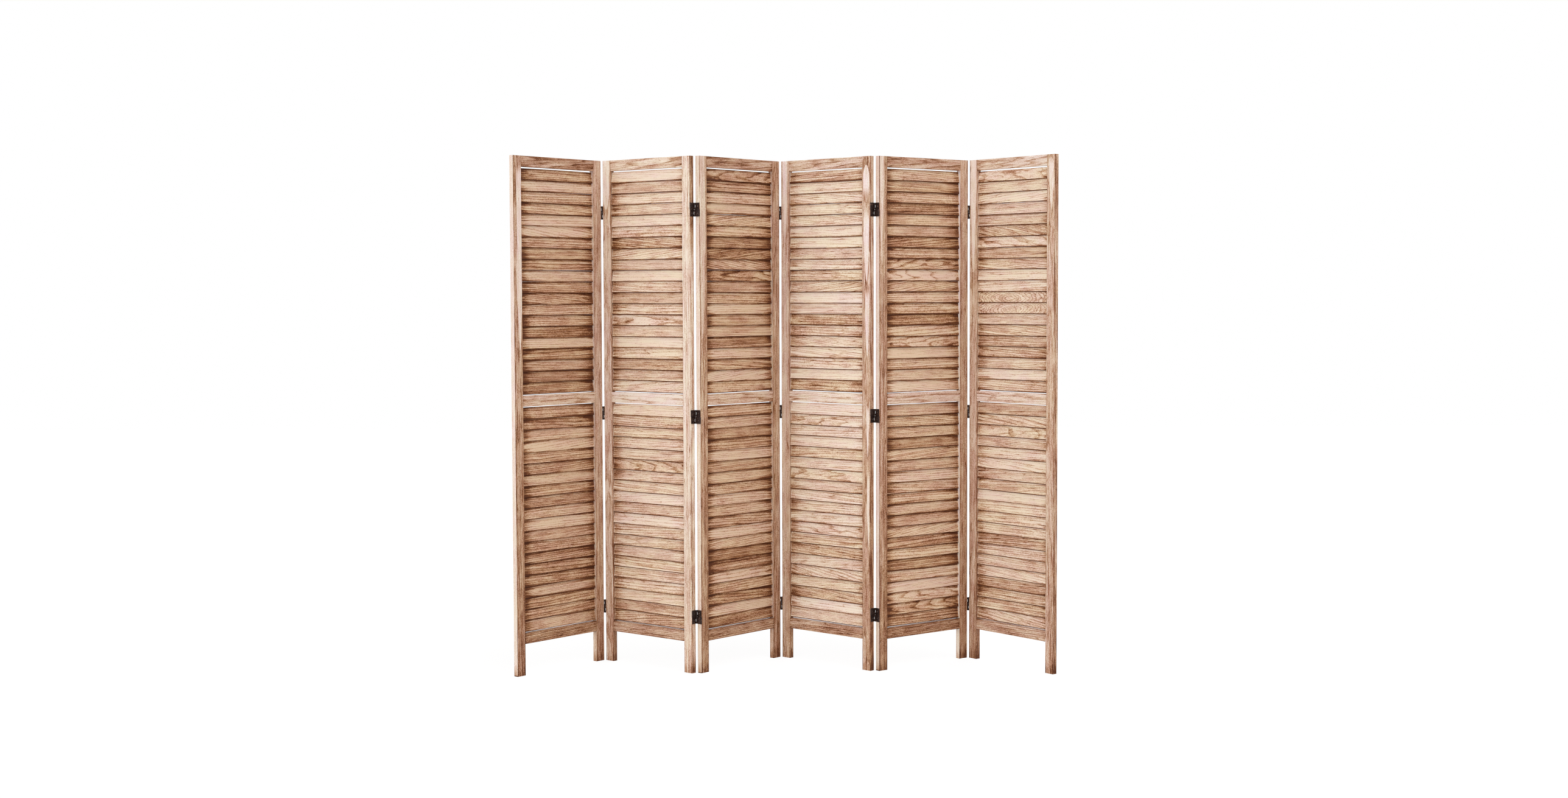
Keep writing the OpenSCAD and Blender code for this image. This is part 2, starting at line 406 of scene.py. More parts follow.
@dataclass(frozen=True)
class TorchedWood:
    """Pale ring-porous wood that was torched and brushed, so that its grain stands out.

    Its colour comes from one depth of tone, 0 for the palest and 1 for the most burnt. The
    weights say how much each cause adds to that depth.

    Attributes:
        tones: The wood's colours by depth of tone.
        fibre, fleck, streak, blotch: Noises from the finest to the broadest.
        unevenness: Strength of these four together.
        pores, pore_edge: Dark pores, where the noise passes the edge.
        hair_lines, hair_edge: Thin dark lines, where the noise is near its middle.
        slow_hue, hue_turn: Slow change of hue, and where a noise turns the hue.
        slow_hues, blotch_hues, streak_hues: The two tints that each noise turns between.
        scorch_unevenness, scorch_edge: How the flame caught along the streaks.
        palest, soft_limit: Least depth outside sapwood, and how softly it is kept.
        ring_width: Distance between two growth rings.
        drift, ripple, waves: Noises that bend the rings, each with its reach in metres.
        early_wood, late_line: Tone of a growth ring by the share of the ring.
    """

    tones: tuple[tuple[float, Colour], ...] = (
        (0.00, from_screen(244, 232, 222)),
        (0.18, from_screen(231, 210, 193)),
        (0.36, from_screen(212, 182, 158)),
        (0.52, from_screen(192, 152, 123)),
        (0.68, from_screen(163, 117, 83)),
        (0.84, from_screen(122, 74, 41)),
        (1.00, from_screen(83, 42, 17)),
    )
    fibre: Noise = Noise(22, 400, 3, 0.65, 0.74)
    fleck: Noise = Noise(320, 560, 3, 0.6, 1.00)
    streak: Noise = Noise(6, 140, 2, 0.6, 0.36)
    blotch: Noise = Noise(12, 36, 3, 0.55, 0.56)
    unevenness: ByBurn = ByBurn(1.03, -0.22)
    pores: Noise = Noise(70, 1000)
    pore_edge: Fade = Fade(0.58, 0.68)
    hair_lines: Noise = Noise(5, 120)
    hair_edge: Fade = Fade(0.028, 0.004)
    hair_strength: ByBurn = ByBurn(0.26, -0.16)
    slow_hue: Noise = Noise(1.5, 9)
    hue_turn: Fade = Fade(0.40, 0.62)
    slow_hues: tuple[Colour, Colour] = ((1.000, 1.002, 0.962), (1.002, 0.995, 1.014))
    blotch_hues: tuple[Colour, Colour] = ((1.000, 1.007, 0.955), (1.008, 0.983, 1.000))
    streak_hues: tuple[Colour, Colour] = ((0.995, 1.008, 0.990), (1.010, 0.985, 1.000))
    scorch_unevenness: float = 0.9
    scorch_edge: Fade = Fade(0.14, 1.15)
    base_depth: float = 0.14
    tone_weight: float = 0.20
    burn_weight: float = 0.30
    ring_weight: float = 0.34
    band_weight: float = 0.14
    pore_weight: float = 0.14
    scorch_weight: float = 0.58
    palest: ByBurn = ByBurn(0.06, 0.30)
    soft_limit: float = 0.14
    sapwood_depth: float = 0.10
    sapwood_fibre: float = 0.55
    sapwood_fleck: float = 0.75
    sapwood_ring: float = 0.16
    ring_width: float = 0.0052
    drift: Noise = Noise(1.6, 12, 2)
    drift_reach: float = 0.014
    ripple: Noise = Noise(1.2, 75)
    ripple_reach: float = 0.009
    waves: Noise = Noise(15, 34)
    wave_reach: float = 0.0018
    curl_reach: float = 0.040
    early_wood: Fade = Fade(0.0, 0.36, 0.9, 0.0)
    late_line: Fade = Fade(0.90, 0.99)
    least_roughness: float = 0.50
    fibre_roughness: float = 0.25
    fibre_height: float = 0.7
    ring_height: float = -0.6
    pore_height: float = -0.5
    bump_strength: float = 0.35
    bump_depth: float = 0.0005
    specular: float = 0.25

    def group(self) -> bpy.types.NodeTree:
        """Draw the wood once, as a group that every board's material reads.

        Returns:
            The group. Its inputs are Log, the place in the log in metres with x along
            the grain, and six numbers: Tone shifts the colour, Burn deepens the grain,
            Rings sets how strongly the growth rings show, Curl bends the grain, Scorch
            marks what the flame caught, and Sapwood pales the wood. Tone and Scorch also
            carry painted shade on the slats, and Tone on the stiles' inner sides.
        """
        tree = bpy.data.node_groups.new("torched_wood", "ShaderNodeTree")
        tree.interface.new_socket("Log", in_out="INPUT", socket_type="NodeSocketVector")
        for name in ("Tone", "Burn", "Rings", "Curl", "Scorch", "Sapwood"):
            tree.interface.new_socket(name, in_out="INPUT", socket_type="NodeSocketFloat")
        tree.interface.new_socket("Color", in_out="OUTPUT", socket_type="NodeSocketColor")
        for name in ("Roughness", "Height"):
            tree.interface.new_socket(name, in_out="OUTPUT", socket_type="NodeSocketFloat")
        graph = Graph(tree)
        given = tree.nodes.new("NodeGroupInput").outputs
        result = tree.nodes.new("NodeGroupOutput").inputs
        place, burn = given["Log"], given["Burn"]

        ring, band = self._rings(graph, place, given["Curl"])
        ring = graph.math("MULTIPLY", ring, given["Rings"])
        noises = (self.fibre, self.fleck, self.streak, self.blotch)
        fibre, fleck, streak, blotch = (noise.number(graph, place) for noise in noises)
        pore = self.pore_edge.draw(graph, self.pores.number(graph, place))
        hair = graph.math("ABSOLUTE", graph.centred(self.hair_lines.number(graph, place)))
        hair = self.hair_edge.draw(graph, hair)
        hair = graph.math("MULTIPLY", hair, self.hair_strength.draw(graph, burn))

        uneven = graph.weighted(0.0, *(
            (noise.weight, graph.centred(value))
            for noise, value in zip(noises, (fibre, fleck, streak, blotch))
        ))
        uneven = graph.math("MULTIPLY", uneven, self.unevenness.draw(graph, burn))
        scorch = graph.weighted(given["Scorch"], (self.scorch_unevenness, graph.centred(streak)))
        scorch = self.scorch_edge.draw(graph, scorch)
        depth = graph.weighted(
            graph.math("ADD", graph.math("ADD", uneven, hair), self.base_depth),
            (self.tone_weight, given["Tone"]),
            (self.burn_weight, burn),
            (self.ring_weight, ring),
            (self.band_weight, graph.centred(band)),
            (self.pore_weight, pore),
            (self.scorch_weight, scorch),
        )
        depth = graph.math("SMOOTH_MAX", depth, self.palest.draw(graph, burn), self.soft_limit)
        pale = graph.weighted(
            self.sapwood_depth, (self.sapwood_fibre, graph.centred(fibre)),
            (self.sapwood_fleck, graph.centred(fleck)), (self.sapwood_ring, ring),
        )
        unscorched = graph.math("SUBTRACT", 1.0, scorch)
        sapwood = graph.math("MULTIPLY", given["Sapwood"], unscorched)
        apart = graph.math("SUBTRACT", pale, depth)
        depth = graph.math("MULTIPLY_ADD", apart, sapwood, depth, clamp=True)

        colour = graph.ramp(depth, self.tones)
        slow = self.slow_hue.number(graph, place)
        for value, (first, second) in (
            (slow, self.slow_hues), (blotch, self.blotch_hues), (streak, self.streak_hues),
        ):
            turn = self.hue_turn.draw(graph, value)
            tint = graph.mix(turn, (*first, 1.0), (*second, 1.0))
            colour = graph.mix(1.0, colour, tint, blend="MULTIPLY")
        height = graph.math("MULTIPLY", fibre, self.fibre_height)
        height = graph.weighted(height, (self.ring_height, ring), (self.pore_height, pore))
        roughness = graph.weighted(self.least_roughness, (self.fibre_roughness, fibre))
        graph.feed(result["Color"], colour)
        graph.feed(result["Roughness"], roughness)
        graph.feed(result["Height"], height)
        return tree

    def _rings(self, graph: Graph, place: Socket, curl: Socket) -> tuple[Socket, Socket]:
        """Draw the growth rings.

        Args:
            graph: The group's graph.
            place: The place in the log.
            curl: How strongly the grain is curled.

        Returns:
            The dark line of each ring, and a random number of its own.
        """
        bend = graph.node("VectorMath", self.waves.shift(graph, place), operation="SCALE")
        graph.feed(bend.inputs["Scale"], graph.weighted(self.wave_reach, (self.curl_reach, curl)))
        reach = (0.0, self.drift_reach, self.drift_reach)
        moved = graph.vector("MULTIPLY_ADD", self.drift.shift(graph, place), reach, place)
        moved = graph.vector("ADD", moved, bend.outputs[0])
        crosswise = graph.vector("MULTIPLY", moved, (0.0, 1.0, 1.0))
        radius = graph.vector("LENGTH", crosswise, output="Value")
        radius = graph.weighted(radius, (self.ripple_reach, self.ripple.number(graph, place)))
        count = graph.math("DIVIDE", radius, self.ring_width)
        share = graph.math("FRACT", count)
        own = graph.node("TexWhiteNoise", noise_dimensions="1D")
        graph.feed(own.inputs["W"], graph.math("FLOOR", count))
        early, late = (fade.draw(graph, share) for fade in (self.early_wood, self.late_line))
        return graph.math("MAXIMUM", early, late), own.outputs["Value"]

    def apply(
        self, graph: Graph, shader: bpy.types.Node, tree: bpy.types.NodeTree, tint: Colour,
        **values: object,
    ) -> None:
        """Read the wood group into a material's surface shader.

        Args:
            graph: The material's graph.
            shader: The material's surface shader.
            tree: The wood group.
            tint: Factors on the wood's red, green and blue.
            **values: The group's inputs, as outputs or plain numbers.
        """
        wood = graph.node("Group", node_tree=tree)
        for name, value in values.items():
            graph.feed(wood.inputs[name], value)
        normal = graph.bump(wood.outputs["Height"], self.bump_strength, self.bump_depth)
        tinted = graph.mix(1.0, wood.outputs["Color"], (*tint, 1.0), blend="MULTIPLY")
        graph.feed(shader.inputs["Base Color"], tinted)
        graph.feed(shader.inputs["Roughness"], wood.outputs["Roughness"])
        graph.feed(shader.inputs["Normal"], normal)
        shader.inputs["Specular IOR Level"].default_value = self.specular


@dataclass(frozen=True)
class BrownedSteel:
    """Dark brown steel of the hinges, with a thin uneven coat.

    Attributes:
        name: The material's name.
        coat: Colour of the coat.
        worn: Colour where the coat is thin.
        roughness, grit_roughness: Mean roughness, and how much the grit changes it.
        clouds, thin_coat: Noise that thins the coat, and where it does.
        grit: Noise of the fine grit.
    """

    name: str
    coat: Colour
    worn: Colour
    roughness: float = 0.42
    grit_roughness: float = 0.30
    clouds: Noise = Noise(160, 160, 4, 0.6)
    thin_coat: Fade = Fade(0.52, 0.72)
    grit: Noise = Noise(1400, 1400, 2, 0.5)
    bump_strength: float = 0.2
    bump_depth: float = 0.0002
    metallic: float = 0.45

    def material(self) -> bpy.types.Material:
        """Draw the metal.

        Returns:
            The material.
        """
        material, graph, shader = new_material(self.name)
        place = graph.node("TexCoord").outputs["Object"]
        thin = self.thin_coat.draw(graph, self.clouds.number(graph, place))
        grit = self.grit.number(graph, place)
        smoothest = self.roughness - self.grit_roughness / 2
        for name, value in (
            ("Base Color", graph.mix(thin, (*self.coat, 1.0), (*self.worn, 1.0))),
            ("Roughness", graph.weighted(smoothest, (self.grit_roughness, grit))),
            ("Normal", graph.bump(grit, self.bump_strength, self.bump_depth)),
        ):
            graph.feed(shader.inputs[name], value)
        shader.inputs["Metallic"].default_value = self.metallic
        return material


@dataclass(frozen=True)
class Streak:
    """A streak along a stile, pale sapwood or a burnt line, which runs out in a round point.

    Attributes:
        tip: Height of the point.
        end: Height of the other end, above or below the point.
        centre: Place across the stile, from its middle towards the panel's right.
        half_width: Half the streak's full width.
        taper: Length over which the streak narrows to its point.
        softness: Width of the streak's soft rim.
        burnt: Whether the streak is burnt, and not pale.
        strength: How strong it is, from 0 to 1.
        side_fade, end_fade: How its sides fade, by its softness, and its far end.
        rim_reach, rim_width, rim_softness: Size of the brown rim of a pale streak.
    """

    tip: float
    end: float
    centre: float
    half_width: float
    taper: float
    softness: float = 0.0034
    burnt: bool = False
    strength: float = 1.0
    side_fade: Fade = Fade(-0.35, 0.65)
    end_fade: float = 0.02
    rim_reach: float = 0.035
    rim_width: float = 0.0025
    rim_softness: float = 0.006

    @classmethod
    def along_edge(cls, side: Side, burnt: bool = False, strength: float = 1.0) -> Streak:
        """Colour the outer edge of a stile all the way up.

        Args:
            side: The side that the stile is on.
            burnt: Whether its edge is burnt, and not pale.
            strength: How strong the colour is, from 0 to 1.

        Returns:
            The streak.
        """
        return cls(
            tip=0.0, end=1.72, centre=0.0182 * side.value, half_width=0.0012, taper=0.01,
            softness=0.0006, burnt=burnt, strength=strength,
        )

    def upward(self) -> float:
        """Return 1 for a streak that goes up from its point, and -1 for one that goes down."""
        return math.copysign(1.0, self.end - self.tip)

    def rim(self) -> Streak:
        """Draw out this streak to the slightly larger one that its brown rim fills.

        Returns:
            The larger streak.
        """
        return replace(
            self, tip=self.tip - self.upward() * self.rim_reach,
            half_width=self.half_width + self.rim_width, softness=self.rim_softness,
        )

    def mask(self, graph: Graph, across: Socket, height: Socket) -> Socket:
        """Draw the streak.

        Args:
            graph: The material's graph.
            across: Place across the stile.
            height: Height above the floor.

        Returns:
            1 in the streak and 0 outside it.
        """
        rise = graph.math("SUBTRACT", height, self.tip)
        rise = graph.math("MULTIPLY", rise, self.upward())
        narrow = graph.math("SQRT", graph.math("DIVIDE", rise, self.taper, clamp=True))
        half = graph.math("MULTIPLY", narrow, self.half_width)
        beside = graph.math("ABSOLUTE", graph.math("SUBTRACT", across, self.centre))
        from_side = graph.math("SUBTRACT", half, beside)
        inside = self.side_fade.draw(graph, from_side, self.softness)
        length = abs(self.end - self.tip)
        far_end = Fade(length - self.end_fade, length + self.end_fade, self.strength, 0.0)
        return graph.math("MULTIPLY", inside, far_end.draw(graph, rise))


@dataclass(frozen=True)
class FrameFinish:
    """How the flame marked the stiles and the rails, and how their grain shows.

    Fades across a stile run from its middle, by shares of its width. Those of a rail run
    from its middle too, by shares of its height or its length.

    Attributes:
        tint: Factors on the wood's red, green and blue.
        edge, arris: Scorch towards the edges of a stile's face and at its corners.
        face_only: The share of both on the face and on the narrow sides.
        foot: Scorch up from the floor, in metres.
        low_tone: Darker tone up from the floor, in metres.
        inner_side: The narrow side that the slats meet.
        rim_scorch: Scorch of the rim round a pale streak.
        rail_edge, rail_end: Scorch towards a rail's edges and its ends.
        stile_rings, rail_rings: How strongly their growth rings show.
        rail_burn: How strongly the rails were torched against the panel's slats.
        rails_apart: Distance of two rails in their log, along it and across it.
    """

    tint: Colour = (0.985, 1.005, 1.075)
    edge: Fade = Fade(0.36, 0.50, 0.0, 0.36)
    arris: Fade = Fade(0.455, 0.480, 0.0, 0.30)
    face_only: Fade = Fade(0.490, 0.497, 1.0, 0.12)
    foot: Fade = Fade(0.0, 0.06, 0.5, 0.0)
    low_tone: Fade = Fade(0.0, 0.9, 0.7, 0.0)
    inner_side: Fade = Fade(0.490, 0.497)
    rim_scorch: float = 0.5
    stile_rings: float = 0.62
    rail_edge: Fade = Fade(0.40, 0.54, 0.0, 0.4)
    rail_end: Fade = Fade(0.40, 0.51, 0.0, 0.35)
    rail_burn: float = 0.7
    rail_rings: float = 0.9
    rails_apart: tuple[float, float] = (1.7, 0.013)


@dataclass(frozen=True)
class SlatFinish:
    """How the flame marked a slat, and the shade painted on it. Places run from -1 to 1 along it
    and across its face.

    Attributes:
        left, right, lower: Reach of each slat's own scorch at its ends and lower edge, which at
        the end in the zigzag's corner also carries painted shade.
        left_end_shade, right_end_shade: Painted shade close to the ends, where the stiles
        shadow the slats; left_shade_strength sets it at the left end.
        lip_scorch_and_shade, lip_painted_shade: The narrow strip under the lower edge, darkened
            partly by
        scorch and partly by painted shade of the gap under it, the shade also as a darker tone.
        top: Painted shadow towards the upper edge, which the slat above casts there.
        arris: The pale corners of the ends.
    """

    left: Fade = Fade(-0.35, -1.0)
    right: Fade = Fade(0.35, 1.0)
    lower: Fade = Fade(-0.45, -1.0)
    left_end_shade: Fade = Fade(-0.70, -1.0)
    left_shade_strength: ByBurn = ByBurn(0.14, 0.36)
    right_end_shade: Fade = Fade(0.80, 1.0, 0.0, 0.20)
    lip: Fade = Fade(-0.865, -0.915)
    lip_scorch_and_shade: ByBurn = ByBurn(2.5, -2.2)
    lip_painted_shade: ByBurn = ByBurn(1.2, -1.5)
    top: Fade = Fade(0.35, 1.0)
    top_painted_shadow: ByBurn = ByBurn(0.10, 0.50)
    arris: Fade = Fade(0.982, 0.990, 0.0, 0.8)

    def material(self, wood: TorchedWood, grain: bpy.types.NodeTree) -> bpy.types.Material:
        """Draw the wood of the slats, which reads each slat's own values.

        Args:
            wood: The wood.
            grain: The wood group.

        Returns:
            The material.
        """
        material, graph, shader = new_material("slat_wood")
        place, board, finish, torch = (
            graph.node("Attribute", attribute_name=name).outputs["Vector"]
            for name in ("grain", "board", "finish", "torch")
        )
        along, _, across = graph.split(board)
        tone, burn, curl = graph.split(finish)
        at_left, at_right, at_lower = graph.split(torch)
        # The lip is darkened partly by scorch and partly by painted shade, which stands in for the
        # shadow in the gap below each slat.
        lip = self.lip.draw(graph, across)
        scorch = graph.weighted(
            # Painted shade close to the right end, where the stile shadows the slats.
            self.right_end_shade.draw(graph, along),
            (at_left, self.left.draw(graph, along)),
            (at_right, self.right.draw(graph, along)),
            (at_lower, self.lower.draw(graph, across)),
            # Painted shade close to the left end, where the stile shadows the slats, stronger on
            # the more torched panels.
            (self.left_shade_strength.draw(graph, burn), self.left_end_shade.draw(graph, along)),
            (self.lip_scorch_and_shade.draw(graph, burn), lip),
            # Painted shadow under the slat above, towards each slat's upper edge.
            (self.top_painted_shadow.draw(graph, burn), self.top.draw(graph, across)),
        )
        # Painted shade: a darker tone along the lip, strongest on the least torched panels.
        tone = graph.weighted(tone, (self.lip_painted_shade.draw(graph, burn), lip))
        arris = self.arris.draw(graph, graph.math("ABSOLUTE", along))
        wood.apply(
            graph, shader, grain, NO_TINT, Log=place, Tone=tone, Burn=burn, Rings=1.0,
            Curl=curl, Scorch=scorch, Sapwood=arris,
        )
        return material


# ---- The divider ----


@dataclass(frozen=True)
class PanelSizes:
    """Sizes that all panels share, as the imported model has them.

    Attributes:
        turning_slat: Number of the slat that turns in each bay, from the bottom.
        bay_gap: Free height between a rail and the stretch that the slats share out.
    """

    height: float = 1.700
    width: float = 0.395
    stile_width: float = 0.0355
    rail_height: float = 0.0355
    leg_height: float = 0.1035
    slats_per_bay: int = 20
    turning_slat: int = 11
    bay_gap: float = 0.00445

    @property
    def inner_width(self) -> float:
        """Distance between the stiles."""
        return self.width - 2 * self.stile_width

    @property
    def bay_height(self) -> float:
        """Height of a bay between two rails."""
        return (self.height - self.leg_height - 3 * self.rail_height) / 2

    @property
    def slat_pitch(self) -> float:
        """Distance between the dowels of two slats."""
        return (self.bay_height - 2 * self.bay_gap) / self.slats_per_bay

    @property
    def rail_pitch(self) -> float:
        """Distance between two rails."""
        return self.bay_height + self.rail_height

    def slat_height(self, bay: Bay, number: int) -> float:
        """Return the height of a slat's dowels above the floor."""
        floor = self.leg_height + self.rail_height + bay.value * self.rail_pitch
        return floor + self.bay_gap + (number - 0.5) * self.slat_pitch


@dataclass(frozen=True)
class PanelPlace:
    """Where a panel stands in the zigzag.

    Attributes:
        number: The panel's number from the left.
        middle: Middle of the panel's floor space.
        heading: Angle from the divider's x axis to the panel's own, in radians.
    """

    number: int
    middle: Vector
    heading: float

    @classmethod
    def from_joint(cls, number: int, joint: dict) -> PanelPlace:
        """Read a panel's place from the joint of one of its turning slats.

        Args:
            number: The panel's number.
            joint: The joint, whose axis points along the panel to its left.

        Returns:
            The panel's place.
        """
        x, y, _ = joint["pos_m"]
        left = Vector(joint["axis"])
        return cls(number, Vector((x, y, 0.0)), math.atan2(-left.y, -left.x))

    def matrix(self) -> Matrix:
        """Return the transform from the panel's frame to the divider's."""
        return Matrix.Translation(self.middle) @ Matrix.Rotation(self.heading, 4, "Z")

    def coordinates(self, graph: Graph) -> Socket:
        """Draw the panel's own coordinates.

        Args:
            graph: The graph of a material.

        Returns:
            The coordinates' output.
        """
        place = graph.node("TexCoord").outputs["Object"]
        turn = (0.0, 0.0, self.heading)
        return graph.node("Mapping", place, self.middle, turn, vector_type="TEXTURE").outputs[0]


@dataclass(frozen=True)
class Warp:
    """How far thin wood strays from its sawn shape at most.

    Attributes:
        rise: Bow of a slat up or down.
        lean: Rise of one end against the other.
        edge: Waves in its edges.
        edge_waves: How close these waves are.
        belly: Bow out of its face.
        twist: Turn of its ends against each other.
        hollow: Bow of its edges against its middle line.
        stiff_share: Share of all this on a slat that stays nearly straight.
    """

    rise: float = 0.00045
    lean: float = 0.00030
    edge: float = 0.00035
    edge_waves: float = 2.6
    belly: float = 0.00030
    twist: float = 0.00020
    hollow: float = 0.00015
    stiff_share: float = 0.3


@dataclass(frozen=True)
class Slat:
    """One slat of a bay, with a round dowel at each end.

    Attributes:
        dice: Random numbers of this slat's own.
        cut: How the slat was sawn.
        tone: Shift of its colour.
        curl: How strongly its grain is curled.
        torch: How much the flame caught its left end, its right end and its lower
        edge, with painted shade at the end in the zigzag's corner.
        lap: How far its lower edge laps over the next slat.
        rise: How far its upper edge reaches up towards a rail.
        spans: Number of stretches along it, between which it can bow.
        dowel_reach, dowel_root: Length of a dowel past the slat's end and inside it.
        warp: How far it strays from its sawn shape.
    """

    dice: random.Random
    cut: Cut
    tone: float
    curl: float
    torch: tuple[float, float, float]
    lap: float
    rise: float
    length: float = 0.322
    width: float = 0.037005
    thickness: float = 0.0045
    edge_radius: float = 0.0015
    spans: int = 5
    dowel_radius: float = 0.002
    dowel_reach: float = 0.009
    dowel_root: float = 0.0005
    dowel_sides: int = 8
    warp: Warp = Warp()

    def add_to(self, mesh: bmesh.types.BMesh, place: Matrix, burn: float, stiff: bool) -> None:
        """Model the slat in its own frame and add it to a mesh.

        Args:
            mesh: The mesh that takes the slat.
            place: From the slat's frame, with x along it and z across it, to the mesh's.
            burn: How strongly the panel's wood was torched.
            stiff: Whether the slat stays nearly straight, for one that its neighbours
                pass.
        """
        own = bmesh.new()
        box = Matrix.Diagonal((self.length, self.thickness, self.width, 1.0))
        bmesh.ops.create_cube(own, size=1.0, matrix=box)
        bmesh.ops.bevel(
            own, geom=self._long_edges(own), offset=self.edge_radius, segments=2,
            affect="EDGES", profile=0.5, material=-1,
        )
        bmesh.ops.subdivide_edges(
            own, edges=self._long_edges(own), cuts=self.spans - 1, use_grid_fill=True
        )
        self._shade_smooth(own)
        for side in (-1, 1):
            self._add_dowel(own, side)
        layers = own.verts.layers.float_vector
        grain, board = layers.new("grain"), layers.new("board")
        finish, torch = layers.new("finish"), layers.new("torch")
        in_log = self.cut.in_log()
        half = Vector((self.length, self.thickness, self.width)) / 2
        for vertex in own.verts:
            vertex[grain] = in_log @ vertex.co
            vertex[board] = [at / most for at, most in zip(vertex.co, half)]
            vertex[finish] = (self.tone, burn, self.curl)
            vertex[torch] = self.torch
        self._bow(own, self.warp.stiff_share if stiff else 1.0)
        own.transform(place)
        part = bpy.data.meshes.new("slat")
        own.to_mesh(part)
        own.free()
        mesh.from_mesh(part)
        bpy.data.meshes.remove(part)

    @staticmethod
    def _long_edges(mesh: bmesh.types.BMesh) -> list[bmesh.types.BMEdge]:
        """Find the edges that run along a slat.

        Args:
            mesh: The slat's mesh.

        Returns:
            The edges.
        """
        return [
            edge for edge in mesh.edges
            if abs((edge.verts[0].co - edge.verts[1].co).normalized().x) > 0.9
        ]

    def _shade_smooth(self, mesh: bmesh.types.BMesh) -> None:
        """Shade the rounded edges smoothly and keep the broad faces and the ends flat.

        Args:
            mesh: The slat's mesh.
        """
        broad = 0.6 * self.width
        for face in mesh.faces:
            face.smooth = True
        for edge in mesh.edges:
            ends = any(abs(face.normal.x) > 0.9 for face in edge.link_faces)
            heights = [[vertex.co.z for vertex in face.verts] for face in edge.link_faces]
            spans = [max(row) - min(row) for row in heights]
            edge.smooth = not ends and (max(spans) < broad or min(spans) > broad)

    def _add_dowel(self, mesh: bmesh.types.BMesh, side: int) -> None:
        """Add the dowel at one end.

        Args:
            mesh: The slat's mesh.
            side: The end, -1 for the left and 1 for the right.
        """
        length = self.dowel_reach + self.dowel_root
        middle = side * (self.length / 2 - self.dowel_root + length / 2)
        turn = Matrix.Translation((middle, 0.0, 0.0)) @ Matrix.Rotation(math.pi / 2, 4, "Y")
        bmesh.ops.create_cone(
            mesh, cap_ends=True, segments=self.dowel_sides, radius1=self.dowel_radius,
            radius2=self.dowel_radius, depth=length, matrix=turn,
        )

    def _bow(self, mesh: bmesh.types.BMesh, amount: float) -> None:
        """Warp the slat a little, as thin wood does, and sand its edges unevenly.

        Args:
            mesh: The slat's mesh.
            amount: Share of the usual warp.
        """
        warp = self.warp
        reach = [amount * self.dice.uniform(-1, 1) for _ in range(7)]
        phase = self.dice.uniform(0, math.tau)
        for vertex in mesh.verts:
            along = 2 * vertex.co.x / self.length
            across = 2 * vertex.co.z / self.width
            belly = max(0.0, 1 - along * along)
            wave = math.sin(warp.edge_waves * along + phase)
            edges = reach[2] * max(0.0, across) + reach[3] * max(0.0, -across)
            vertex.co.z += warp.rise * reach[0] * belly + warp.lean * reach[1] * along
            vertex.co.z += warp.edge * edges * wave
            vertex.co.y += warp.belly * reach[4] * belly
            vertex.co.y += warp.twist * reach[5] * along * across
            vertex.co.y += warp.hollow * reach[6] * belly * across * across
            if across < -0.5 and abs(along) <= 1.0:
                vertex.co.z -= self.lap
            if across > 0.5 and abs(along) <= 1.0:
                vertex.co.z += self.rise


SlatName = tuple[int, Bay, int]
NumbersByBay = dict[Bay, tuple[tuple[int, ...], ...]]


